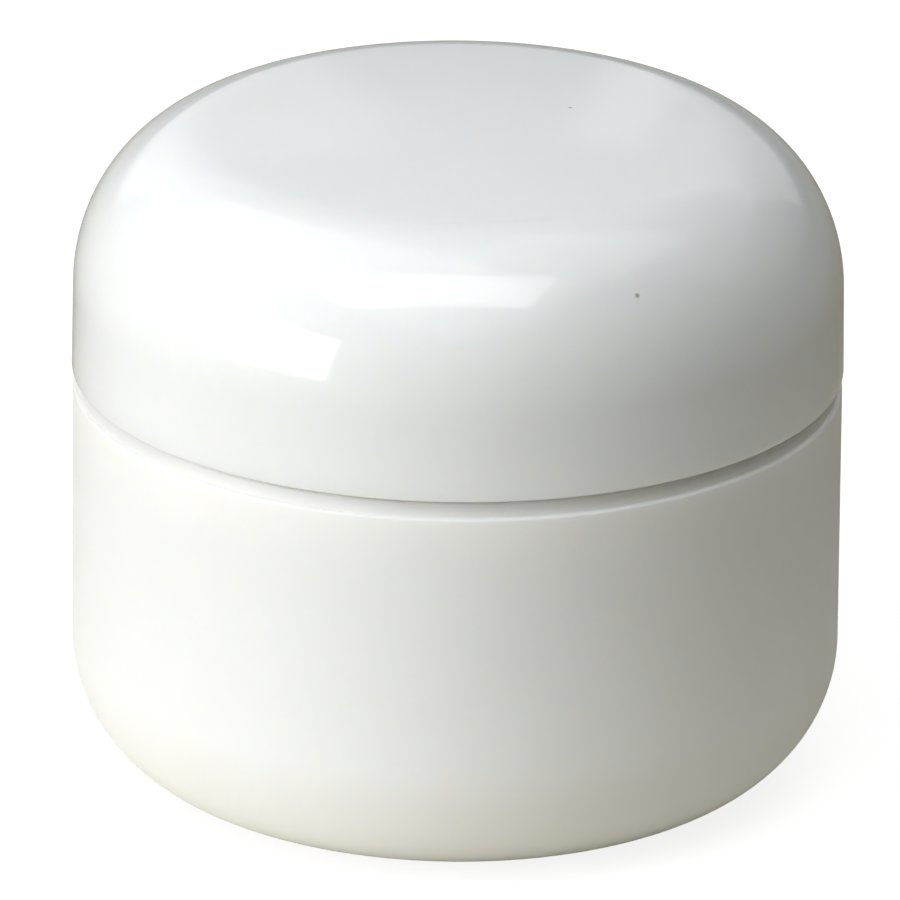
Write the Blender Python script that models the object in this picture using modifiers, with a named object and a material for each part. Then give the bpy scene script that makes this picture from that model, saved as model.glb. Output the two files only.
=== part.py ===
"""Double-wall paint jar with a domed screw lid.

Two mouldings make the base (outer jar and inner cup), two make the lid (dome and threaded
insert), and a foam disc seals the lid against the neck. +Z is up, the jar stands on z = 0 and
its axis is the Z axis. Sizes below are in millimetres; MM turns them into metres.
"""

import math

import bmesh
import bpy
from mathutils import Matrix

MM = 0.001
SEGMENTS = 48               # facets round every turned piece

# Overall
JAR_RADIUS = 33.0
SHOULDER_Z = 35.1           # narrow shoulder that the lid stops above
SEAM_GAP = 1.6              # from the shoulder up to the lid's rim
CLEARANCE = 0.3             # left between pieces that touch

# Outer jar
WALL = 1.8
FOOT_CORNER = 12.3          # radius of the rounded bottom edge
FOOT_RECESS_RADIUS = 17.8
FOOT_RECESS_DEPTH = 0.9
SHOULDER_EDGE = 0.2         # fillet between shoulder and wall
COLLAR_HEIGHT = 1.2         # sloping collar that rises from the shoulder into the gap
COLLAR_RADIUS = 32.3        # at its top
COLLAR_FOOT_RADIUS = 32.6
SEAT_RADIUS = 29.75         # round rebate in the collar that the cup's flange sits in
SEAT_DEPTH = 1.5
SEAT_LIP = 0.6              # width of the ledge under the flange
LIP_HEIGHT = 1.5            # of the ledge's ring, and of the slope under it
LIP_TAPER = 2.5

# Inner cup and its neck
FLANGE_THICKNESS = 1.2
NECK_ROOT_RADIUS = 27.1
NECK_HEIGHT = 9.6           # above the shoulder
NECK_EDGE = 0.4             # bevels on the outer and inner edges of the neck's rim
MOUTH_EDGE = 0.5
MOUTH_RADIUS = 25.2
CUP_FLOOR_Z = 9.6
CUP_WALL = 1.7
CUP_DRAFT = 0.6             # the cup is this much narrower at its floor
CUP_CORNER = 6.5

# Thread: one start, right-hand, six turns to the inch
THREAD_LEAD = 25.4 / 6.0
THREAD_DEPTH = 1.2
THREAD_SINK = 0.4           # how far a thread's root runs into its wall
THREAD_STEPS = 36           # sections in a full turn
NECK_THREAD_TURNS = 1.3
NECK_THREAD_BASE = 2.0      # width at the root and at the crest
NECK_THREAD_CREST = 1.0
NECK_THREAD_Z = 2.4         # middle of its lower end, above the shoulder
INSERT_THREAD_TURNS = 1.2
INSERT_THREAD_BASE = 1.6
INSERT_THREAD_CREST = 0.8
INSERT_THREAD_DROP = 1.6    # the insert's thread bears on the neck's from this far below
INSERT_THREAD_START = 2.0 / 3.0    # of a turn up the same helix
THREAD_RUNOUT = 30.0        # degrees over which a thread's end fades into its wall
THREAD_END = 0.2            # share of the section left at its very end, buried in the wall

# Lid dome
LID_RIM_RADIUS = 33.1
LID_SIDE_RADIUS = 33.0
LID_WALL = 1.6
LID_SIDE_HEIGHT = 7.4       # straight part of the lid's side
LID_CORNER_RADIAL = 12.3
LID_CORNER_HEIGHT = 13.9
DOME_SLOPE = 5.5            # degrees at the edge of the lid's shallow crown
LID_RIM_EDGE = 0.15
SNAP_BEAD = 0.5             # bead that holds the insert in
SNAP_BEAD_Z = 2.3           # above the lid's rim
BEAD_LOW_SIDE = 0.5         # how far the bead runs down, and up, from its crest
BEAD_HIGH_SIDE = 1.0

# Lid insert
INSERT_BORE_RADIUS = NECK_ROOT_RADIUS + THREAD_DEPTH + 0.35
INSERT_WALL = 1.5
INSERT_TOP_WALL = 1.4
INSERT_RECESS = 0.4         # its bottom edge sits this far inside the dome's rim
INSERT_FLANGE_HEIGHT = 1.2
INSERT_CORNER = 1.6
RIB_COUNT = 12
RIB_WIDTH = 1.6
RIB_REACH = 0.85            # how far a rib stands out from the insert's wall
RIB_HEIGHT = 5.0
RIB_PHASE = 0.25            # first rib, as a share of the spacing, clear of the wall's facet edges

# Foam liner
LINER_THICKNESS = 1.4
LINER_EDGE = 0.3

# Levels that follow from the sizes above
COLLAR_Z = SHOULDER_Z + COLLAR_HEIGHT
LID_RIM_Z = SHOULDER_Z + SEAM_GAP
NECK_TOP_Z = SHOULDER_Z + NECK_HEIGHT
LINER_Z = NECK_TOP_Z + CLEARANCE
INSERT_CEILING_Z = LINER_Z + LINER_THICKNESS + CLEARANCE

WHITE_SATIN = ((0.86, 0.86, 0.85), 0.45)
WHITE_SMOOTH = ((0.87, 0.87, 0.86), 0.30)
WHITE_GLOSS = ((0.88, 0.89, 0.89), 0.12)
WHITE_INSERT = ((0.84, 0.84, 0.83), 0.35)
WHITE_FOAM = ((0.90, 0.90, 0.88), 0.80)


def clear_scene():
    for thing in list(bpy.data.objects):
        bpy.data.objects.remove(thing, do_unlink=True)


def make_material(name, look):
    colour, roughness = look
    material = bpy.data.materials.new(name)
    material.use_nodes = True
    shader = material.node_tree.nodes["Principled BSDF"]
    shader.inputs["Base Color"].default_value = (*colour, 1.0)
    shader.inputs["Roughness"].default_value = roughness
    shader.inputs["Metallic"].default_value = 0.0
    return material


def corner(x_centre, z_centre, radial, height, start, end, count):
    """Points on an elliptical arc; angles in degrees from +X, turning towards +Z."""
    points = []
    for step in range(count + 1):
        angle = math.radians(start + (end - start) * step / count)
        points.append((x_centre + radial * math.cos(angle), z_centre + height * math.sin(angle)))
    return points


def domed_top(side_top_z, flat_radius, radial, height, count):
    """Points up a lid's round corner and over its crown, which meets the corner without a kink."""
    slope = math.radians(DOME_SLOPE)
    meet = math.degrees(math.atan2(height, radial * math.tan(slope)))
    points = corner(flat_radius, side_top_z, radial, height, 0, meet, count)
    edge_radius, edge_z = points[-1]
    sphere = edge_radius / math.sin(slope)
    for share in (0.6, 0.3, 0.0):
        radius = share * edge_radius
        z = edge_z + math.sqrt(sphere ** 2 - radius ** 2) - sphere * math.cos(slope)
        points.append((radius, z))
    return points


def finish_object(thing, material, collection):
    thing.data.materials.append(material)
    thing.data.shade_smooth()
    thing.data.set_sharp_from_angle(angle=math.radians(30.0))
    collection.objects.link(thing)


def turned(name, profile, material, collection, origin_z=0.0):
    """A body turned about Z. The profile starts and ends on the axis and runs down its outside."""
    mesh = bpy.data.meshes.new(name)
    shape = bmesh.new()
    corners = [shape.verts.new((x * MM, 0.0, (z - origin_z) * MM)) for x, z in profile]
    for first, second in zip(corners, corners[1:]):
        shape.edges.new((first, second))
    shape.to_mesh(mesh)
    shape.free()
    thing = bpy.data.objects.new(name, mesh)
    thing.location = (0.0, 0.0, origin_z * MM)
    finish_object(thing, material, collection)
    screw = thing.modifiers.new("Turn", "SCREW")
    screw.steps = SEGMENTS
    screw.render_steps = SEGMENTS
    screw.use_merge_vertices = True
    screw.merge_threshold = 0.00001
    return thing


def helix_ridge(name, turns, root_radius, crest_radius, root_width, crest_width):
    """A closed ridge of trapezoid section along a right-hand helix, fading out at both ends.

    Its lower end is at z = 0. The root lies inside the wall that it grows from, so the crest may
    be outside or inside it.
    """
    shape = bmesh.new()
    count = round(turns * THREAD_STEPS)
    runout = THREAD_RUNOUT / 360.0 * THREAD_STEPS
    previous = None
    for step in range(count + 1):
        angle = 2.0 * math.pi * step / THREAD_STEPS
        z = THREAD_LEAD * step / THREAD_STEPS
        fade = min(1.0, step / runout, (count - step) / runout)
        swell = THREAD_END + (1.0 - THREAD_END) * fade
        crest = root_radius + (crest_radius - root_radius) * swell
        root_half = 0.5 * root_width * swell
        crest_half = 0.5 * crest_width * swell
        section = [
            (root_radius, z - root_half),
            (crest, z - crest_half),
            (crest, z + crest_half),
            (root_radius, z + root_half),
        ]
        ring = [
            shape.verts.new((r * MM * math.cos(angle), r * MM * math.sin(angle), h * MM))
            for r, h in section
        ]
        if previous is None:
            shape.faces.new(ring)
        else:
            for here in range(4):
                after = (here + 1) % 4
                shape.faces.new((previous[here], ring[here], ring[after], previous[after]))
        previous = ring
    shape.faces.new(list(reversed(previous)))
    bmesh.ops.recalc_face_normals(shape, faces=shape.faces)
    mesh = bpy.data.meshes.new(name)
    shape.to_mesh(mesh)
    shape.free()
    return bpy.data.objects.new(name, mesh)


def rib_ring(name, inner_radius, outer_radius):
    """Upright ribs spaced evenly round the axis and standing on z = 0, each a separate box."""
    shape = bmesh.new()
    size = (outer_radius - inner_radius, RIB_WIDTH, RIB_HEIGHT)
    middle = (0.5 * (inner_radius + outer_radius), 0.0, 0.5 * RIB_HEIGHT)
    for index in range(RIB_COUNT):
        turn = Matrix.Rotation(2.0 * math.pi * (index + RIB_PHASE) / RIB_COUNT, 3, "Z")
        box = bmesh.ops.create_cube(shape, size=1.0)["verts"]
        bmesh.ops.scale(shape, vec=[side * MM for side in size], verts=box)
        bmesh.ops.translate(shape, vec=[place * MM for place in middle], verts=box)
        bmesh.ops.rotate(shape, matrix=turn, verts=box)
    mesh = bpy.data.meshes.new(name)
    shape.to_mesh(mesh)
    shape.free()
    return bpy.data.objects.new(name, mesh)


def join_with(thing, tool, cutters, z_offset):
    """Boolean union of a hidden tool mesh into a piece."""
    tool.location = (0.0, 0.0, z_offset * MM)
    tool.hide_render = True
    tool.display_type = "WIRE"
    cutters.objects.link(tool)
    union = thing.modifiers.new(tool.name, "BOOLEAN")
    union.operation = "UNION"
    union.solver = "EXACT"
    union.object = tool


def outer_jar_profile():
    inner_radius = JAR_RADIUS - WALL
    floor_z = FOOT_RECESS_DEPTH + WALL
    corner_x = JAR_RADIUS - FOOT_CORNER
    lip_radius = SEAT_RADIUS - SEAT_LIP
    seat_z = COLLAR_Z - SEAT_DEPTH
    edge_x = JAR_RADIUS - SHOULDER_EDGE
    edge_z = SHOULDER_Z - SHOULDER_EDGE
    profile = [(0.0, floor_z)]
    profile += corner(corner_x, FOOT_CORNER, inner_radius - corner_x, FOOT_CORNER - floor_z, 270, 360, 5)
    profile += [
        (inner_radius, seat_z - LIP_HEIGHT - LIP_TAPER),
        (lip_radius, seat_z - LIP_HEIGHT),
        (lip_radius, seat_z),
        (SEAT_RADIUS, seat_z),
        (SEAT_RADIUS, COLLAR_Z),
        (COLLAR_RADIUS, COLLAR_Z),
        (COLLAR_FOOT_RADIUS, SHOULDER_Z),
    ]
    profile += corner(edge_x, edge_z, SHOULDER_EDGE, SHOULDER_EDGE, 90, 0, 2)
    profile += corner(corner_x, FOOT_CORNER, FOOT_CORNER, FOOT_CORNER, 360, 270, 7)
    profile += [
        (FOOT_RECESS_RADIUS, 0.0),
        (FOOT_RECESS_RADIUS - FOOT_RECESS_DEPTH, FOOT_RECESS_DEPTH),
        (0.0, FOOT_RECESS_DEPTH),
    ]
    return profile


def inner_cup_profile():
    flange_z = COLLAR_Z - FLANGE_THICKNESS
    inner_low = MOUTH_RADIUS - CUP_DRAFT
    outer_corner = CUP_CORNER + CUP_WALL
    profile = [(0.0, CUP_FLOOR_Z)]
    profile += corner(
        inner_low - CUP_CORNER, CUP_FLOOR_Z + CUP_CORNER, CUP_CORNER, CUP_CORNER, 270, 360, 4
    )
    profile += [
        (MOUTH_RADIUS, NECK_TOP_Z - MOUTH_EDGE),
        (MOUTH_RADIUS + MOUTH_EDGE, NECK_TOP_Z),
        (NECK_ROOT_RADIUS - NECK_EDGE, NECK_TOP_Z),
        (NECK_ROOT_RADIUS, NECK_TOP_Z - NECK_EDGE),
        (NECK_ROOT_RADIUS, COLLAR_Z),
        (SEAT_RADIUS - CLEARANCE, COLLAR_Z),
        (SEAT_RADIUS - CLEARANCE, flange_z),
        (MOUTH_RADIUS + CUP_WALL, flange_z),
    ]
    profile += corner(
        inner_low - CUP_CORNER, CUP_FLOOR_Z + CUP_CORNER, outer_corner, outer_corner, 360, 270, 5
    )
    profile += [(0.0, CUP_FLOOR_Z - CUP_WALL)]
    return profile


def lid_dome_profile():
    side_top_z = LID_RIM_Z + LID_SIDE_HEIGHT
    flat_radius = LID_SIDE_RADIUS - LID_CORNER_RADIAL
    inner_radius = LID_SIDE_RADIUS - LID_WALL
    bead_z = LID_RIM_Z + SNAP_BEAD_Z
    outside = [(LID_RIM_RADIUS - LID_RIM_EDGE, LID_RIM_Z), (LID_RIM_RADIUS, LID_RIM_Z + LID_RIM_EDGE)]
    outside += domed_top(side_top_z, flat_radius, LID_CORNER_RADIAL, LID_CORNER_HEIGHT, 8)
    inside = [
        (inner_radius, LID_RIM_Z),
        (inner_radius, bead_z - BEAD_LOW_SIDE),
        (inner_radius - SNAP_BEAD, bead_z),
        (inner_radius, bead_z + BEAD_HIGH_SIDE),
    ]
    inside += domed_top(
        side_top_z, flat_radius, LID_CORNER_RADIAL - LID_WALL, LID_CORNER_HEIGHT - LID_WALL, 5
    )
    return list(reversed(outside)) + inside


def lid_insert_profile():
    low = LID_RIM_Z + INSERT_RECESS
    outer_radius = INSERT_BORE_RADIUS + INSERT_WALL
    flange_radius = LID_SIDE_RADIUS - LID_WALL - CLEARANCE
    flange_top = low + INSERT_FLANGE_HEIGHT
    top = INSERT_CEILING_Z + INSERT_TOP_WALL
    edge_x = outer_radius - INSERT_CORNER
    profile = [(0.0, top)]
    profile += corner(edge_x, top - INSERT_CORNER, INSERT_CORNER, INSERT_CORNER, 90, 0, 3)
    profile += [
        (outer_radius, flange_top),
        (flange_radius, flange_top),
        (flange_radius, low),
        (INSERT_BORE_RADIUS, low),
        (INSERT_BORE_RADIUS, INSERT_CEILING_Z),
        (0.0, INSERT_CEILING_Z),
    ]
    return profile


def liner_profile():
    radius = INSERT_BORE_RADIUS - CLEARANCE
    top = LINER_Z + LINER_THICKNESS
    return [
        (0.0, top),
        (radius - LINER_EDGE, top),
        (radius, top - LINER_EDGE),
        (radius, LINER_Z + LINER_EDGE),
        (radius - LINER_EDGE, LINER_Z),
        (0.0, LINER_Z),
    ]


def build_base(parts, cutters):
    satin = make_material("white_satin", WHITE_SATIN)
    turned("outer_jar", outer_jar_profile(), satin, parts)
    smooth = make_material("white_smooth", WHITE_SMOOTH)
    cup = turned("inner_cup", inner_cup_profile(), smooth, parts)
    ridge = helix_ridge(
        "neck_thread", NECK_THREAD_TURNS,
        NECK_ROOT_RADIUS - THREAD_SINK, NECK_ROOT_RADIUS + THREAD_DEPTH,
        NECK_THREAD_BASE, NECK_THREAD_CREST,
    )
    join_with(cup, ridge, cutters, SHOULDER_Z + NECK_THREAD_Z)


def build_lid(parts, cutters):
    gloss = make_material("white_gloss", WHITE_GLOSS)
    turned("lid_dome", lid_dome_profile(), gloss, parts, LID_RIM_Z)
    plain = make_material("white_insert", WHITE_INSERT)
    insert = turned("lid_insert", lid_insert_profile(), plain, parts, LID_RIM_Z)
    ridge = helix_ridge(
        "insert_thread", INSERT_THREAD_TURNS,
        INSERT_BORE_RADIUS + THREAD_SINK, INSERT_BORE_RADIUS - THREAD_DEPTH,
        INSERT_THREAD_BASE, INSERT_THREAD_CREST,
    )
    ridge.rotation_euler = (0.0, 0.0, 2.0 * math.pi * INSERT_THREAD_START)
    climb = THREAD_LEAD * INSERT_THREAD_START - INSERT_THREAD_DROP
    join_with(insert, ridge, cutters, SHOULDER_Z + NECK_THREAD_Z + climb)
    wall_radius = INSERT_BORE_RADIUS + INSERT_WALL
    rib_low = LID_RIM_Z + SNAP_BEAD_Z + BEAD_HIGH_SIDE + CLEARANCE
    ribs = rib_ring("insert_ribs", wall_radius - THREAD_SINK, wall_radius + RIB_REACH)
    join_with(insert, ribs, cutters, rib_low)
    foam = make_material("white_foam", WHITE_FOAM)
    turned("liner_disc", liner_profile(), foam, parts, LINER_Z)


def main():
    clear_scene()
    parts = bpy.data.collections.new("paint_jar")
    cutters = bpy.data.collections.new("cutters")
    bpy.context.scene.collection.children.link(parts)
    bpy.context.scene.collection.children.link(cutters)
    build_base(parts, cutters)
    build_lid(parts, cutters)


main()
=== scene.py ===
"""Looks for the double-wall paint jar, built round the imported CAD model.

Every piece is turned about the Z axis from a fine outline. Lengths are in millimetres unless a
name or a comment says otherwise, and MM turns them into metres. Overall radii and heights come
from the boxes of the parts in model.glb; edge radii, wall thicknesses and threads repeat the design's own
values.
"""

import math

import bmesh
import bpy
from mathutils import Matrix, Vector, noise


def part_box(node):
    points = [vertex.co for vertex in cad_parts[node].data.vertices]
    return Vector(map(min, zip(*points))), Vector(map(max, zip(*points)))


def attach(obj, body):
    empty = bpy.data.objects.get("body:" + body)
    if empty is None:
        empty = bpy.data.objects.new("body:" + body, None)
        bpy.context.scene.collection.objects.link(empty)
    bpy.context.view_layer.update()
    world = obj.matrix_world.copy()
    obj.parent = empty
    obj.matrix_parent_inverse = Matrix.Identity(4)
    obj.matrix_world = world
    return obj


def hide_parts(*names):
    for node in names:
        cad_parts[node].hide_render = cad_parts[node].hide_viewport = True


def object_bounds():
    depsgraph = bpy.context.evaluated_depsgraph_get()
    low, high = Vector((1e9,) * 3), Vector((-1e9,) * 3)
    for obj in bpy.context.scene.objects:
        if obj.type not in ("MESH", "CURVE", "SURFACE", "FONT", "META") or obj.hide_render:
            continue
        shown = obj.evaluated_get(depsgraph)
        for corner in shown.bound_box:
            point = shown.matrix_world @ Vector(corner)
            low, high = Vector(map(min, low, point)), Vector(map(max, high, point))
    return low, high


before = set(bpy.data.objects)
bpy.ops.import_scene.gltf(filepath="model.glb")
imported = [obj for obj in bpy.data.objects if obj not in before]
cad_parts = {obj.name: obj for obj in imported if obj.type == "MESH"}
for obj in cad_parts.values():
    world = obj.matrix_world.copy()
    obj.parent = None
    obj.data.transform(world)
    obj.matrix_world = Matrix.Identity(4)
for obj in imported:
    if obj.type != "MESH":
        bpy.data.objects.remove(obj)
CAD_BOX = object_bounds()

MM = 0.001
SEGMENTS = 192              # facets round every turned piece
ARC_STEP = 9.0              # degrees between points along a rounded edge
LONGEST = 0.8               # longest gap between outline points on a straight or gentle stretch
POLE = 1e-6                 # radius under which an outline point is on the axis
CORNER_STEPS = 40           # facets in a quarter turn of an outside corner
INSIDE_STEPS = 20           # the same for the outer wall's inside
CUP_STEPS = 24              # the same for the cup
CROWN_RINGS = 26            # rings over the crown of the lid

# Radii of small rounded edges
HAIR_EDGE = 0.05
CRISP_EDGE = 0.1
FINE_EDGE = 0.12
MOULD_EDGE = 0.15
EASED_EDGE = 0.2
SOFT_EDGE = 0.3
BROAD_EDGE = 0.4
TAPER_EDGE = 0.6
MARGIN = 0.05               # between an edge's arc and the closely spaced part of a wall

# Outer jar
WALL = 1.8
FOOT_CORNER = 12.3
FOOT_RECESS_RADIUS = 17.8
FOOT_RECESS_DEPTH = 0.9
SHOULDER_EDGE = 0.2
COLLAR_HEIGHT = 1.2         # steep collar on the shoulder, which shows in the gap under the lid
COLLAR_RADIUS = 32.3
COLLAR_FOOT_RADIUS = 32.6
SEAT_RADIUS = 29.75
SEAT_DEPTH = 1.5
SEAT_LIP = 0.6
LIP_HEIGHT = 1.5
LIP_TAPER = 2.5
CLEARANCE = 0.3

# Marks that moulding leaves under the jar and in the cup
GATE_DIMPLE_RADIUS = 2.4
GATE_DIMPLE_DEPTH = 0.35
GATE_NUB_RADIUS = 0.7
GATE_NUB_HEIGHT = 0.22
GATE_NUB_EDGE = 0.08
BASE_RING_RADIUS = 12.2
BASE_RING_WIDTH = 0.7
BASE_RING_DEPTH = 0.18

# Inner cup and its neck
FLANGE_THICKNESS = 1.2
NECK_ROOT_RADIUS = 27.1
MOUTH_RADIUS = 25.2
CUP_WALL = 1.7
CUP_DRAFT = 0.6
CUP_CORNER = 6.5
CUP_NUB_HEIGHT = 0.12               # gate mark on the cup's floor
NECK_ROOT_EDGE = 0.3
NECK_RIM_EDGE = 0.45
MOUTH_EDGE = 0.55

# Thread
THREAD_LEAD = 25.4 / 6.0
THREAD_DEPTH = 1.2
THREAD_RUNOUT = 30.0 / 360.0        # of a turn, over which a thread's end fades
NECK_THREAD_TURNS = 1.3
NECK_THREAD_BASE = 2.0
NECK_THREAD_CREST = 1.0
NECK_THREAD_Z = 2.4                 # middle of its lower end, above the shoulder
INSERT_THREAD_TURNS = 1.2
INSERT_THREAD_BASE = 1.6
INSERT_THREAD_CREST = 0.8
INSERT_THREAD_DROP = 1.6
INSERT_THREAD_START = 2.0 / 3.0     # of a turn up the same helix
RELIEF_STEP = 0.16                  # between rings where a wall carries threads or ribs

# Lid dome
LID_WALL = 1.6
LID_SIDE_TAPER = 0.1                # the rim is this much wider than the top of the side
LID_SIDE_HEIGHT = 7.4
LID_CORNER_RADIAL = 12.3
LID_CORNER_HEIGHT = 13.9
DOME_SLOPE = 5.5
LID_RIM_EDGE = 0.15
SNAP_BEAD = 0.5
SNAP_BEAD_Z = 2.3
BEAD_LOW_SIDE = 0.5
BEAD_HIGH_SIDE = 1.0

# Lid insert
INSERT_BORE_RADIUS = 28.65
INSERT_WALL = 1.5
INSERT_TOP_WALL = 1.4
INSERT_FLANGE_HEIGHT = 1.2
INSERT_CORNER = 1.6
RIB_COUNT = 12
RIB_WIDTH = 1.6
RIB_REACH = 0.85
RIB_HEIGHT = 5.0
RIB_PHASE = 0.25
RIB_FLANK = 0.35                    # width of a rib's rounded side

# Foam liner
LINER_EDGE = 0.35
RIM_PRINT_DEPTH = 0.16              # groove that the neck's rim has pressed into the foam
RIM_PRINT_EDGE = 0.4
RIM_PRINT_SPREAD = 0.1              # how far it reaches past the neck's outer wall
RIM_PRINT_INSET = 0.2               # and how far it stays outside the mouth
FOAM_UNEVEN = 0.035                 # how far the foam's faces wander
FOAM_LUMP = 2.6                     # size of that unevenness


def top_of(node):
    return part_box(node)[1].z / MM


def low_of(node):
    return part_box(node)[0].z / MM


def radius_of(node):
    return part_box(node)[1].x / MM


JAR_RADIUS = radius_of("outer_jar")
COLLAR_Z = top_of("outer_jar")
SHOULDER_Z = COLLAR_Z - COLLAR_HEIGHT
NECK_TOP_Z = top_of("inner_cup")
CUP_FLOOR_Z = low_of("inner_cup") + CUP_WALL
LID_RIM_Z = low_of("lid_dome")
LID_RIM_RADIUS = radius_of("lid_dome")
INSERT_LOW_Z = low_of("lid_insert")
INSERT_TOP_Z = top_of("lid_insert")
LINER_LOW_Z = low_of("liner_disc")
LINER_TOP_Z = top_of("liner_disc")


# ---------------------------------------------------------------- outlines

def arc(x_centre, z_centre, radial, height, start, end, count):
    """Corners along an elliptical arc; angles in degrees from +X, turning towards +Z."""
    points = []
    for step in range(count + 1):
        angle = math.radians(start + (end - start) * step / count)
        points.append((x_centre + radial * math.cos(angle), z_centre + height * math.sin(angle), 0.0))
    return points


def domed_top(side_top_z, flat_radius, radial, height):
    """Corners up a lid's round corner and over its crown, which meets the corner without a kink."""
    slope = math.radians(DOME_SLOPE)
    meet = math.degrees(math.atan2(height, radial * math.tan(slope)))
    points = arc(flat_radius, side_top_z, radial, height, 0.0, meet, CORNER_STEPS)
    edge_radius, edge_z, _ = points[-1]
    sphere = edge_radius / math.sin(slope)
    for step in range(1, CROWN_RINGS + 1):
        radius = edge_radius * (1.0 - step / CROWN_RINGS)
        z = edge_z + math.sqrt(sphere ** 2 - radius ** 2) - sphere * math.cos(slope)
        points.append((radius, z, 0.0))
    return points


def rounded(corners):
    """The outline through corners (radius, z, edge radius), with an arc in place of each sharp one."""
    outline = []
    for index, (x, z, edge) in enumerate(corners):
        here = Vector((x, z))
        if edge == 0.0:
            outline.append(here)
            continue
        to_before = (Vector(corners[index - 1][:2]) - here).normalized()
        to_after = (Vector(corners[index + 1][:2]) - here).normalized()
        half = 0.5 * to_before.angle(to_after)
        centre = here + (to_before + to_after).normalized() * edge / math.sin(half)
        first = here + to_before * edge / math.tan(half) - centre
        last = here + to_after * edge / math.tan(half) - centre
        start = math.atan2(first.y, first.x)
        sweep = math.remainder(math.atan2(last.y, last.x) - start, 2.0 * math.pi)
        count = max(2, math.ceil(abs(math.degrees(sweep)) / ARC_STEP))
        for step in range(count + 1):
            angle = start + sweep * step / count
            outline.append(centre + edge * Vector((math.cos(angle), math.sin(angle))))
    return outline


def spaced(outline, longest=LONGEST):
    """The same outline with no gap between points above the longest one."""
    points = [outline[0]]
    for before, after in zip(outline, outline[1:]):
        count = max(1, math.ceil((after - before).length / longest))
        for step in range(1, count + 1):
            points.append(before.lerp(after, step / count))
    return points


def wall(radius, z_from, z_to):
    """Closely spaced corners up or down a straight wall that carries threads or ribs."""
    count = math.ceil(abs(z_to - z_from) / RELIEF_STEP)
    return [(radius, z_from + (z_to - z_from) * step / count, 0.0) for step in range(count + 1)]


# ---------------------------------------------------------------- relief on turned walls

def smooth_step(share):
    share = min(1.0, max(0.0, share))
    return share * share * (3.0 - 2.0 * share)


def thread_height(angle, z, start_z, start_turn, turns, base, crest):
    """How far a helical ridge stands out of its wall at an angle and a height."""
    first = (angle / (2.0 * math.pi) - start_turn) % 1.0
    height = 0.0
    along = first
    while along < turns:
        swell = min(1.0, along / THREAD_RUNOUT, (turns - along) / THREAD_RUNOUT)
        if swell > 0.0:
            away = abs(z - start_z - THREAD_LEAD * along)
            side = (0.5 * base * swell - away) / (0.5 * (base - crest) * swell)
            height = max(height, THREAD_DEPTH * swell * smooth_step(side))
        along += 1.0
    return height


def neck_relief(radius, z, angle):
    if abs(radius - NECK_ROOT_RADIUS) > POLE or z < COLLAR_Z:
        return 0.0
    start_z = SHOULDER_Z + NECK_THREAD_Z
    return thread_height(
        angle, z, start_z, 0.0, NECK_THREAD_TURNS, NECK_THREAD_BASE, NECK_THREAD_CREST
    )


def rib_height(angle, z):
    """How far the locking ribs stand out of the insert's outer wall."""
    outer = INSERT_BORE_RADIUS + INSERT_WALL
    spacing = 2.0 * math.pi / RIB_COUNT
    from_middle = math.remainder(angle - RIB_PHASE * spacing, spacing) * outer
    low = LID_RIM_Z + SNAP_BEAD_Z + BEAD_HIGH_SIDE + CLEARANCE
    across = (0.5 * RIB_WIDTH - abs(from_middle)) / RIB_FLANK
    along = min(z - low, low + RIB_HEIGHT - z) / RIB_FLANK
    return RIB_REACH * smooth_step(across) * smooth_step(along)


def insert_relief(radius, z, angle):
    if abs(radius - INSERT_BORE_RADIUS - INSERT_WALL) < POLE:
        return rib_height(angle, z)
    if abs(radius - INSERT_BORE_RADIUS) < POLE:
        climb = THREAD_LEAD * INSERT_THREAD_START - INSERT_THREAD_DROP
        start_z = SHOULDER_Z + NECK_THREAD_Z + climb
        return -thread_height(
            angle, z, start_z, INSERT_THREAD_START,
            INSERT_THREAD_TURNS, INSERT_THREAD_BASE, INSERT_THREAD_CREST,
        )
    return 0.0


def even_angles():
    return [2.0 * math.pi * step / SEGMENTS for step in range(SEGMENTS)]


def rib_angles():
    """Even angles, with closer ones across each rib so that its sides keep their shape."""
    outer = INSERT_BORE_RADIUS + INSERT_WALL
    spacing = 2.0 * math.pi / RIB_COUNT
    half = 0.5 * RIB_WIDTH / outer
    flank = RIB_FLANK / outer
    clear = half + 0.5 * flank
    angles = []
    for angle in even_angles():
        if abs(math.remainder(angle - RIB_PHASE * spacing, spacing)) > clear:
            angles.append(angle)
    for index in range(RIB_COUNT):
        middle = (index + RIB_PHASE) * spacing
        for side in (-half, -half + 0.5 * flank, -half + flank, 0.0, half - flank, half - 0.5 * flank, half):
            angles.append((middle + side) % (2.0 * math.pi))
    return sorted(angles)


# ---------------------------------------------------------------- pieces

def turned(name, corners, material, relief=None, angles=None, uneven=0.0):
    """A closed body turned about Z from corners that start and end on the axis."""
    angles = angles or even_angles()
    shape = bmesh.new()
    rings = []
    for point in spaced(rounded(corners)):
        radius, z = point
        if radius < POLE:
            rings.append([shape.verts.new((0.0, 0.0, z * MM))])
            continue
        ring = []
        for angle in angles:
            reach = radius + (relief(radius, z, angle) if relief else 0.0)
            x, y = reach * math.cos(angle), reach * math.sin(angle)
            lift = uneven * noise.noise(Vector((x, y, z)) / FOAM_LUMP) if uneven else 0.0
            ring.append(shape.verts.new((x * MM, y * MM, (z + lift) * MM)))
        rings.append(ring)
    count = len(angles)
    for first, second in zip(rings, rings[1:]):
        for step in range(count):
            after = (step + 1) % count
            if len(first) == 1:
                shape.faces.new((first[0], second[step], second[after]))
            elif len(second) == 1:
                shape.faces.new((first[step], second[0], first[after]))
            else:
                shape.faces.new((first[step], second[step], second[after], first[after]))
    bmesh.ops.recalc_face_normals(shape, faces=shape.faces)
    mesh = bpy.data.meshes.new(name)
    shape.to_mesh(mesh)
    shape.free()
    mesh.shade_smooth()
    mesh.materials.append(material)
    piece = bpy.data.objects.new(name, mesh)
    bpy.context.scene.collection.objects.link(piece)
    return piece


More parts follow.
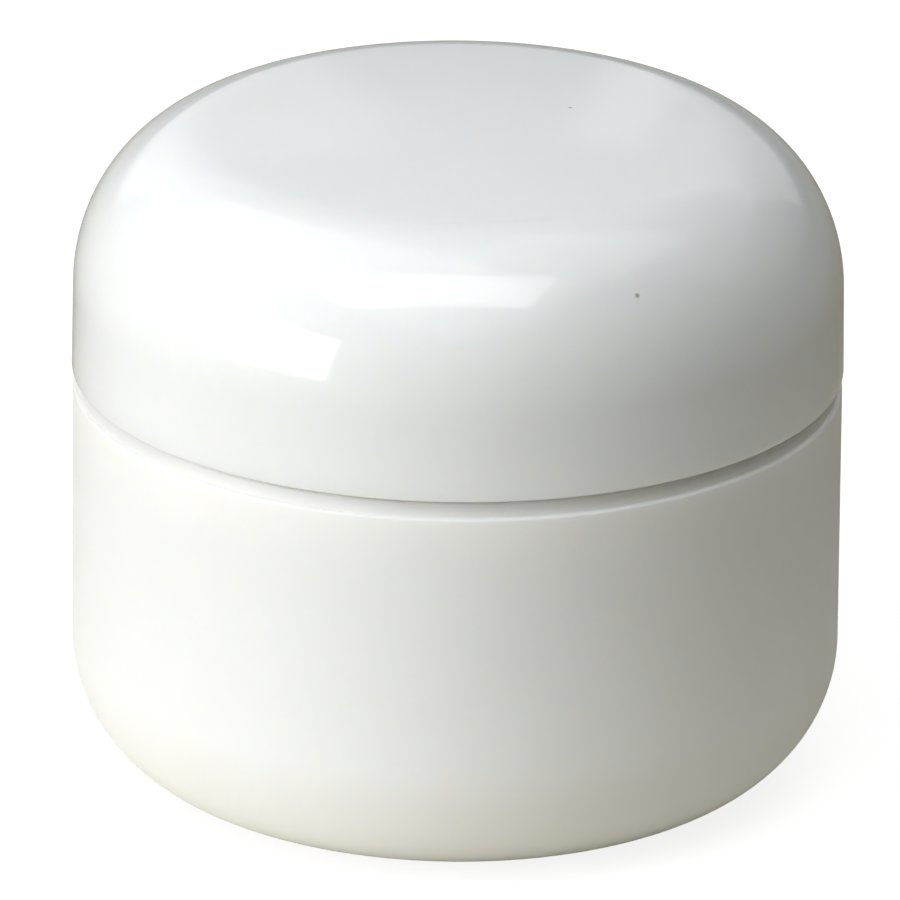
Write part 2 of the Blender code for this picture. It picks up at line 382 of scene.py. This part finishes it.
def outer_jar_corners():
    inner_radius = JAR_RADIUS - WALL
    floor_z = FOOT_RECESS_DEPTH + WALL
    corner_x = JAR_RADIUS - FOOT_CORNER
    lip_radius = SEAT_RADIUS - SEAT_LIP
    seat_z = COLLAR_Z - SEAT_DEPTH
    under_z = FOOT_RECESS_DEPTH
    ring_low = BASE_RING_RADIUS - 0.5 * BASE_RING_WIDTH
    ring_high = BASE_RING_RADIUS + 0.5 * BASE_RING_WIDTH
    dimple_z = under_z + GATE_DIMPLE_DEPTH
    inner_corner = (inner_radius - corner_x, FOOT_CORNER - floor_z)
    return [
        (0.0, floor_z, 0.0),
        *arc(corner_x, FOOT_CORNER, *inner_corner, 270, 360, INSIDE_STEPS),
        (inner_radius, seat_z - LIP_HEIGHT - LIP_TAPER, TAPER_EDGE),
        (lip_radius, seat_z - LIP_HEIGHT, BROAD_EDGE),
        (lip_radius, seat_z, FINE_EDGE),
        (SEAT_RADIUS, seat_z, FINE_EDGE),
        (SEAT_RADIUS, COLLAR_Z, CRISP_EDGE),
        (COLLAR_RADIUS, COLLAR_Z, SOFT_EDGE),
        (COLLAR_FOOT_RADIUS, SHOULDER_Z, MOULD_EDGE),
        (JAR_RADIUS, SHOULDER_Z, SHOULDER_EDGE),
        *arc(corner_x, FOOT_CORNER, FOOT_CORNER, FOOT_CORNER, 360, 270, CORNER_STEPS),
        (FOOT_RECESS_RADIUS, 0.0, SOFT_EDGE),
        (FOOT_RECESS_RADIUS - FOOT_RECESS_DEPTH, under_z, BROAD_EDGE),
        (ring_high, under_z, HAIR_EDGE),
        (ring_high - 0.5 * BASE_RING_DEPTH, under_z + BASE_RING_DEPTH, HAIR_EDGE),
        (ring_low + 0.5 * BASE_RING_DEPTH, under_z + BASE_RING_DEPTH, HAIR_EDGE),
        (ring_low, under_z, HAIR_EDGE),
        (GATE_DIMPLE_RADIUS, under_z, CRISP_EDGE),
        (GATE_DIMPLE_RADIUS - GATE_DIMPLE_DEPTH, dimple_z, MOULD_EDGE),
        (GATE_NUB_RADIUS, dimple_z, GATE_NUB_EDGE),
        (GATE_NUB_RADIUS, dimple_z - GATE_NUB_HEIGHT, GATE_NUB_EDGE),
        (0.0, dimple_z - GATE_NUB_HEIGHT, 0.0),
    ]


def inner_cup_corners():
    flange_z = COLLAR_Z - FLANGE_THICKNESS
    inner_low = MOUTH_RADIUS - CUP_DRAFT
    outer_corner = CUP_CORNER + CUP_WALL
    corner_x = inner_low - CUP_CORNER
    corner_z = CUP_FLOOR_Z + CUP_CORNER
    thread_top = NECK_TOP_Z - NECK_RIM_EDGE - MARGIN
    thread_low = COLLAR_Z + NECK_ROOT_EDGE + MARGIN
    return [
        (0.0, CUP_FLOOR_Z + CUP_NUB_HEIGHT, 0.0),
        (GATE_NUB_RADIUS, CUP_FLOOR_Z + CUP_NUB_HEIGHT, HAIR_EDGE),
        (GATE_NUB_RADIUS + CUP_NUB_HEIGHT, CUP_FLOOR_Z, HAIR_EDGE),
        *arc(corner_x, corner_z, CUP_CORNER, CUP_CORNER, 270, 360, CUP_STEPS),
        (MOUTH_RADIUS, NECK_TOP_Z, MOUTH_EDGE),
        (NECK_ROOT_RADIUS, NECK_TOP_Z, NECK_RIM_EDGE),
        *wall(NECK_ROOT_RADIUS, thread_top, thread_low),
        (NECK_ROOT_RADIUS, COLLAR_Z, NECK_ROOT_EDGE),
        (SEAT_RADIUS - CLEARANCE, COLLAR_Z, FINE_EDGE),
        (SEAT_RADIUS - CLEARANCE, flange_z, CRISP_EDGE),
        (MOUTH_RADIUS + CUP_WALL, flange_z, BROAD_EDGE),
        *arc(corner_x, corner_z, outer_corner, outer_corner, 360, 270, CUP_STEPS),
        (0.0, CUP_FLOOR_Z - CUP_WALL, 0.0),
    ]


def lid_dome_corners():
    side_top_z = LID_RIM_Z + LID_SIDE_HEIGHT
    side_radius = LID_RIM_RADIUS - LID_SIDE_TAPER
    flat_radius = side_radius - LID_CORNER_RADIAL
    inner_radius = side_radius - LID_WALL
    bead_z = LID_RIM_Z + SNAP_BEAD_Z
    outside = domed_top(side_top_z, flat_radius, LID_CORNER_RADIAL, LID_CORNER_HEIGHT)
    inside = domed_top(
        side_top_z, flat_radius, LID_CORNER_RADIAL - LID_WALL, LID_CORNER_HEIGHT - LID_WALL
    )
    return [
        *reversed(outside),
        (LID_RIM_RADIUS, LID_RIM_Z, LID_RIM_EDGE),
        (inner_radius, LID_RIM_Z, MOULD_EDGE),
        (inner_radius, bead_z - BEAD_LOW_SIDE, MOULD_EDGE),
        (inner_radius - SNAP_BEAD, bead_z, EASED_EDGE),
        (inner_radius, bead_z + BEAD_HIGH_SIDE, BROAD_EDGE),
        *inside,
    ]


def lid_insert_corners():
    outer_radius = INSERT_BORE_RADIUS + INSERT_WALL
    flange_radius = LID_RIM_RADIUS - LID_SIDE_TAPER - LID_WALL - CLEARANCE
    flange_top = INSERT_LOW_Z + INSERT_FLANGE_HEIGHT
    ceiling = INSERT_TOP_Z - INSERT_TOP_WALL
    rib_top = INSERT_TOP_Z - INSERT_CORNER - MARGIN
    rib_low = flange_top + EASED_EDGE + MARGIN
    thread_low = INSERT_LOW_Z + SOFT_EDGE + MARGIN
    thread_top = ceiling - SOFT_EDGE - MARGIN
    return [
        (0.0, INSERT_TOP_Z, 0.0),
        (outer_radius, INSERT_TOP_Z, INSERT_CORNER),
        *wall(outer_radius, rib_top, rib_low),
        (outer_radius, flange_top, EASED_EDGE),
        (flange_radius, flange_top, EASED_EDGE),
        (flange_radius, INSERT_LOW_Z, EASED_EDGE),
        (INSERT_BORE_RADIUS, INSERT_LOW_Z, SOFT_EDGE),
        *wall(INSERT_BORE_RADIUS, thread_low, thread_top),
        (INSERT_BORE_RADIUS, ceiling, SOFT_EDGE),
        (0.0, ceiling, 0.0),
    ]


def liner_corners():
    radius = radius_of("liner_disc")
    print_out = NECK_ROOT_RADIUS + RIM_PRINT_SPREAD
    print_in = MOUTH_RADIUS + RIM_PRINT_INSET
    print_z = LINER_LOW_Z + RIM_PRINT_DEPTH
    return [
        (0.0, LINER_TOP_Z, 0.0),
        (radius, LINER_TOP_Z, LINER_EDGE),
        (radius, LINER_LOW_Z, LINER_EDGE),
        (print_out + RIM_PRINT_EDGE, LINER_LOW_Z, SOFT_EDGE),
        (print_out, print_z, SOFT_EDGE),
        (print_in, print_z, SOFT_EDGE),
        (print_in - RIM_PRINT_EDGE, LINER_LOW_Z, SOFT_EDGE),
        (0.0, LINER_LOW_Z, 0.0),
    ]


# ---------------------------------------------------------------- materials

class Nodes:
    """A short way to add nodes to a material and join them."""

    def __init__(self, tree):
        self.tree = tree
        self.place = self.add("ShaderNodeTexCoord").outputs["Object"]

    def add(self, kind, inputs=(), **settings):
        node = self.tree.nodes.new(kind)
        for name, value in settings.items():
            setattr(node, name, value)
        for name, value in dict(inputs).items():
            if isinstance(value, bpy.types.NodeSocket):
                self.tree.links.new(value, node.inputs[name])
            else:
                node.inputs[name].default_value = value
        return node

    def noise(self, size, detail=2.0, roughness=0.5, stretch=None):
        """Noise from 0 to 1 with lumps of about this size in millimetres."""
        place = self.place
        if stretch:
            place = self.add("ShaderNodeMapping", {"Vector": place, "Scale": stretch}).outputs["Vector"]
        inputs = {"Vector": place, "Scale": 1.0 / (size * MM), "Detail": detail, "Roughness": roughness}
        return self.add("ShaderNodeTexNoise", inputs).outputs["Fac"]

    def spread(self, value, low, high, start=0.3, end=0.7):
        """The value's middle range spread from low to high."""
        inputs = {"Value": value, "From Min": start, "From Max": end, "To Min": low, "To Max": high}
        return self.add("ShaderNodeMapRange", inputs).outputs["Result"]

    def blend(self, share, first, second):
        """A colour between two others."""
        node = self.add("ShaderNodeMix", data_type="RGBA")
        for index, value in ((0, share), (6, first), (7, second)):
            if isinstance(value, bpy.types.NodeSocket):
                self.tree.links.new(value, node.inputs[index])
            else:
                node.inputs[index].default_value = value
        return node.outputs[2]

    def bump(self, height, depth, normal=None):
        """Bumps as deep as this in millimetres where the height runs from 0 to 1."""
        inputs = {"Height": height, "Distance": depth * MM, "Strength": 1.0}
        if normal:
            inputs["Normal"] = normal
        return self.add("ShaderNodeBump", inputs).outputs["Normal"]


def new_material(name):
    material = bpy.data.materials.new(name)
    material.use_nodes = True
    tree = material.node_tree
    return material, Nodes(tree), tree.nodes["Principled BSDF"]


def join(nodes, shader, name, value):
    nodes.tree.links.new(value, shader.inputs[name])


CLOUD_SIZE = 14.0                       # lumps of uneven tint, and of uneven polish
POLISH_SIZE = 4.5
PLASTIC_IOR = 1.49
SCATTER_COLOURS = (1.0, 0.86, 0.72)     # how far red, green and blue light travel in the plastic
SCATTER_REACH = 4.2
DUST = (0.42, 0.40, 0.38, 1.0)
SPECK_CORE = 0.6                        # shares of a speck's radius where it starts and ends fading
SPECK_FADE = 1.4


def moulded_plastic(name, tint, shade, roughness, grain, wave, scatter=0.75, specks=()):
    """White polypropylene: cloudy tint, uneven polish, a fine mould texture and a slow ripple.

    roughness is its lowest and highest value; grain and wave are (size, depth); scatter is the
    share of light that passes under the surface; specks are dust, as (place, radius).
    """
    material, nodes, shader = new_material(name)
    cloud = nodes.spread(nodes.noise(CLOUD_SIZE, detail=3.0), 0.0, 1.0)
    colour = nodes.blend(cloud, (*tint, 1.0), (*shade, 1.0))
    for place, size in specks:
        inputs = {0: nodes.place, 1: [side * MM for side in place]}
        away = nodes.add("ShaderNodeVectorMath", inputs, operation="DISTANCE").outputs["Value"]
        near = nodes.spread(away, 1.0, 0.0, SPECK_CORE * size * MM, SPECK_FADE * size * MM)
        colour = nodes.blend(near, colour, DUST)
    join(nodes, shader, "Base Color", colour)
    polish = nodes.spread(nodes.noise(POLISH_SIZE, detail=4.0, roughness=0.6), *roughness)
    join(nodes, shader, "Roughness", polish)
    ripple = nodes.bump(nodes.noise(wave[0], detail=1.0), wave[1])
    texture = nodes.bump(nodes.noise(grain[0], detail=2.0, roughness=0.6), grain[1], ripple)
    join(nodes, shader, "Normal", texture)
    shader.inputs["IOR"].default_value = PLASTIC_IOR
    shader.inputs["Subsurface Weight"].default_value = scatter
    shader.inputs["Subsurface Radius"].default_value = SCATTER_COLOURS
    shader.inputs["Subsurface Scale"].default_value = SCATTER_REACH * MM
    return material


FOAM_CELL = 0.45
FOAM_CELL_DEPTH = 0.06
FOAM_SKIN_SIZE = 1.8
FOAM_SKIN_DEPTH = 0.08
FOAM_IOR = 1.4
FOAM_SCATTER = 0.25
FOAM_SCATTER_REACH = 0.8


def foam_material():
    """Closed-cell polyethylene foam: small skinned cells, each with painted shade towards its edges, and a
    chalky surface.
    """
    material, nodes, shader = new_material("white_foam")
    inputs = {"Vector": nodes.place, "Scale": 1.0 / (FOAM_CELL * MM), "Randomness": 1.0}
    cells = nodes.add("ShaderNodeTexVoronoi", inputs, feature="F1")
    cell = cells.outputs["Distance"]
    cloud = nodes.spread(nodes.noise(6.0, detail=3.0), 0.0, 1.0)
    colour = nodes.blend(cloud, (0.90, 0.90, 0.88, 1.0), (0.86, 0.86, 0.83, 1.0))
    # painted shade: each foam cell's colour darkens towards its edges, standing in for shade in the cells
    painted_cell_shade = nodes.spread(cell, 0.0, 0.35, 0.25, 0.75)
    join(nodes, shader, "Base Color", nodes.blend(painted_cell_shade, colour, (0.74, 0.74, 0.71, 1.0)))
    join(nodes, shader, "Roughness", nodes.spread(nodes.noise(1.5, detail=3.0), 0.72, 0.9))
    skin = nodes.bump(nodes.noise(FOAM_SKIN_SIZE, detail=3.0), FOAM_SKIN_DEPTH)
    join(nodes, shader, "Normal", nodes.bump(cell, FOAM_CELL_DEPTH, skin))
    shader.inputs["IOR"].default_value = FOAM_IOR
    shader.inputs["Subsurface Weight"].default_value = FOAM_SCATTER
    shader.inputs["Subsurface Radius"].default_value = (1.0, 0.95, 0.85)
    shader.inputs["Subsurface Scale"].default_value = FOAM_SCATTER_REACH * MM
    return material


# ---------------------------------------------------------------- jar and lid

CONCEALED_SCATTER = 0.3         # for pieces that the closed lid hides
LID_SPECKS = (                  # dust on the dome: place and radius
    ((9.4, 3.7, 58.8), 0.16),
    ((15.0, -26.2, 52.85), 0.2),
)


def build_jar():
    satin = moulded_plastic(
        "white_satin", (0.850, 0.848, 0.838), (0.832, 0.828, 0.816), (0.44, 0.54),
        (0.22, 0.004), (9.0, 0.02),
    )
    jar = turned("outer_jar_shell", outer_jar_corners(), satin)
    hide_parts("outer_jar")
    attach(jar, "jar")

    smooth = moulded_plastic(
        "white_smooth", (0.87, 0.87, 0.86), (0.85, 0.85, 0.84), (0.26, 0.36),
        (0.3, 0.002), (8.0, 0.02), scatter=CONCEALED_SCATTER,
    )
    cup = turned("inner_cup_shell", inner_cup_corners(), smooth, neck_relief)
    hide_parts("inner_cup")
    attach(cup, "jar")


def build_lid():
    gloss = moulded_plastic(
        "white_gloss", (0.905, 0.902, 0.893), (0.890, 0.886, 0.876), (0.07, 0.12),
        (0.5, 0.0006), (7.0, 0.006), specks=LID_SPECKS,
    )
    dome = turned("lid_dome_shell", lid_dome_corners(), gloss)
    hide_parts("lid_dome")
    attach(dome, "lid")

    plain = moulded_plastic(
        "white_insert", (0.85, 0.85, 0.84), (0.83, 0.83, 0.815), (0.32, 0.42),
        (0.25, 0.003), (8.0, 0.03), scatter=CONCEALED_SCATTER,
    )
    insert = turned("lid_insert_shell", lid_insert_corners(), plain, insert_relief, rib_angles())
    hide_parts("lid_insert")
    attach(insert, "lid")

    liner = turned("foam_liner", liner_corners(), foam_material(), uneven=FOAM_UNEVEN)
    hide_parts("liner_disc")
    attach(liner, "liner")


# ---------------------------------------------------------------- stage

FLOOR_RADIUS = 8.0                      # metres
FLOOR_SEGMENTS = 96
FLOOR_DROP = 0.05                       # how far it lies under the jar's foot
FLOOR_MOTTLE = 60.0                     # size of its faint mottle
MOTTLE_RANGE = (0.985, 1.0)
PAINTED_BOUNCE_NEAR = (0.73, 0.705, 0.610)     # painted light: a paler colour near the jar's axis that only bounced light sees, a pool of bounce light with no sheet there
PAINTED_BOUNCE_EDGE = (50.0, 120.0)              # the painted pool of bounce light fades out between these distances from the jar's axis
FLOOR_BOUNCE = (0.30, 0.28, 0.22)       # light that the floor beyond the painted pool sends back, greyer than the floor the camera sees
FLOOR_SEEN = (0.26, 0.26, 0.26)         # the floor as the camera sees it, with a glow added
FLOOR_GLOW = 0.86
WORLD_SEEN = 1.0                        # the background behind the floor
WORLD_LIGHT = (0.01, 0.01, 0.01)


def build_floor():
    """A pale floor; it looks white to the camera, but lights the jar only as a greyer one would, with
    painted light: a paler pool near the jar that only bounced light sees.
    """
    shape = bmesh.new()
    bmesh.ops.create_circle(shape, cap_ends=True, segments=FLOOR_SEGMENTS, radius=FLOOR_RADIUS)
    mesh = bpy.data.meshes.new("floor")
    shape.to_mesh(mesh)
    shape.free()
    floor = bpy.data.objects.new("floor", mesh)
    floor.location.z = CAD_BOX[0][2] - FLOOR_DROP * MM
    bpy.context.scene.collection.objects.link(floor)
    material, nodes, shader = new_material("pale_floor")
    tree = material.node_tree
    tree.nodes.remove(shader)
    mottle = nodes.spread(nodes.noise(FLOOR_MOTTLE, detail=3.0), *MOTTLE_RANGE)
    seen = nodes.add("ShaderNodeBsdfDiffuse", {"Color": (*FLOOR_SEEN, 1.0)})
    glow = nodes.add("ShaderNodeEmission", {"Strength": FLOOR_GLOW})
    tree.links.new(mottle, glow.inputs["Color"])
    to_eye = nodes.add("ShaderNodeAddShader", {0: seen.outputs[0], 1: glow.outputs[0]})
    away = nodes.add("ShaderNodeVectorMath", {0: nodes.place}, operation="LENGTH").outputs["Value"]
    # painted light: the floor's bounce colour is paler near the jar's axis and greyer beyond, and only
    # bounced light sees it
    beyond = nodes.spread(away, 0.0, 1.0, PAINTED_BOUNCE_EDGE[0] * MM, PAINTED_BOUNCE_EDGE[1] * MM)
    painted_bounce = nodes.blend(beyond, (*PAINTED_BOUNCE_NEAR, 1.0), (*FLOOR_BOUNCE, 1.0))
    bounce = nodes.add("ShaderNodeBsdfDiffuse", {"Color": painted_bounce})
    is_camera = nodes.add("ShaderNodeLightPath").outputs["Is Camera Ray"]
    mixed = nodes.add("ShaderNodeMixShader", {0: is_camera, 1: bounce.outputs[0], 2: to_eye.outputs[0]})
    tree.links.new(mixed.outputs[0], tree.nodes["Material Output"].inputs["Surface"])
    mesh.materials.append(material)


def build_world():
    world = bpy.data.worlds.new("studio")
    bpy.context.scene.world = world
    world.use_nodes = True
    tree = world.node_tree
    light = tree.nodes["Background"]
    light.inputs["Color"].default_value = (*WORLD_LIGHT, 1.0)
    seen = tree.nodes.new("ShaderNodeBackground")
    seen.inputs["Color"].default_value = (WORLD_SEEN, WORLD_SEEN, WORLD_SEEN, 1.0)
    path = tree.nodes.new("ShaderNodeLightPath")
    mix = tree.nodes.new("ShaderNodeMixShader")
    tree.links.new(path.outputs["Is Camera Ray"], mix.inputs[0])
    tree.links.new(light.outputs[0], mix.inputs[1])
    tree.links.new(seen.outputs[0], mix.inputs[2])
    tree.links.new(mix.outputs[0], tree.nodes["World Output"].inputs["Surface"])


def direction(azimuth, elevation):
    """From the jar; azimuth 0 is towards the camera and grows to the right, in degrees."""
    around, up = math.radians(azimuth), math.radians(elevation)
    return Vector((math.sin(around) * math.cos(up), -math.cos(around) * math.cos(up), math.sin(up)))


def panel(name, centre, size, radiance, colour=(1.0, 1.0, 1.0), aim=(0.0, 0.0, 0.03)):
    """A rectangular light panel, in metres, that faces a point and that the camera doesn't see."""
    light = bpy.data.lights.new(name, "AREA")
    light.shape = "RECTANGLE"
    light.size, light.size_y = size
    light.color = colour
    light.energy = radiance * math.pi * size[0] * size[1]
    lamp = bpy.data.objects.new(name, light)
    lamp.location = centre
    lamp.rotation_euler = (Vector(aim) - Vector(centre)).to_track_quat("-Z", "Y").to_euler()
    lamp.visible_camera = False
    bpy.context.scene.collection.objects.link(lamp)
    return lamp


def sky_panel(name, azimuth, elevation, distance, wide, high, radiance, colour=(1.0, 1.0, 1.0)):
    """A panel that covers so many degrees as seen from the jar, at a distance in metres."""
    size = [2.0 * distance * math.tan(math.radians(0.5 * angle)) for angle in (wide, high)]
    return panel(name, direction(azimuth, elevation) * distance, size, radiance, colour)


KEY_TINT = (1.0, 0.995, 0.99)
TOP_TINT = (0.978, 1.0, 0.985)
OVERHEAD_PLACE = (-0.16, -0.48, 1.0)    # metres; it faces straight down
OVERHEAD_AIM = (-0.16, -0.48, 0.0)
OVERHEAD_SIZE = (1.08, 0.52)


def build_lights():
    """Panels; each row is name, azimuth, elevation, metres away, degrees wide and high, radiance."""
    sky_panel("key", -60, 13, 1.1, 44, 26, 7.4, KEY_TINT)
    sky_panel("top_left", -60, 70, 1.3, 100, 44, 0.92, TOP_TINT)
    sky_panel("top_right", 75, 74, 1.3, 60, 36, 0.80, TOP_TINT)
    panel("overhead", OVERHEAD_PLACE, OVERHEAD_SIZE, 2.7, TOP_TINT, aim=OVERHEAD_AIM)
    sky_panel("rear_low", 180, 18, 1.6, 70, 18, 0.44)
    sky_panel("rear_side", -160, 18, 1.7, 34, 18, 0.22)
    sky_panel("rear_streak", 176.5, 17, 1.7, 1.5, 14, 0.4)
    sky_panel("rear_high", 180, 33, 1.6, 70, 12, 0.40)
    sky_panel("rear_right", 130, 50, 1.5, 60, 40, 0.30)


def build_camera():
    """Far off with a long lens, a little above the jar, and tilted by half a degree."""
    distance, elevation, roll = 1500.0, 21.05, 0.57
    aim_z, aim_right, aim_up = 27.0, -0.59, 1.60
    lens = 698.0
    backward = direction(0.0, elevation)
    right = Vector((1.0, 0.0, 0.0))
    up = backward.cross(right)
    aim = Vector((0.0, 0.0, aim_z)) + right * aim_right + up * aim_up
    camera = bpy.data.cameras.new("camera")
    camera.lens = lens
    camera.sensor_width = 36.0
    camera.clip_start = 0.05
    camera.clip_end = 30.0
    eye = bpy.data.objects.new("camera", camera)
    turn = Matrix((right, up, backward)).transposed() @ Matrix.Rotation(math.radians(roll), 3, "Z")
    eye.matrix_world = Matrix.Translation((aim + backward * distance) * MM) @ turn.to_4x4()
    bpy.context.scene.collection.objects.link(eye)
    bpy.context.scene.camera = eye
    bpy.context.scene.view_settings.view_transform = "Standard"


build_jar()
build_lid()
build_floor()
build_world()
build_lights()
build_camera()
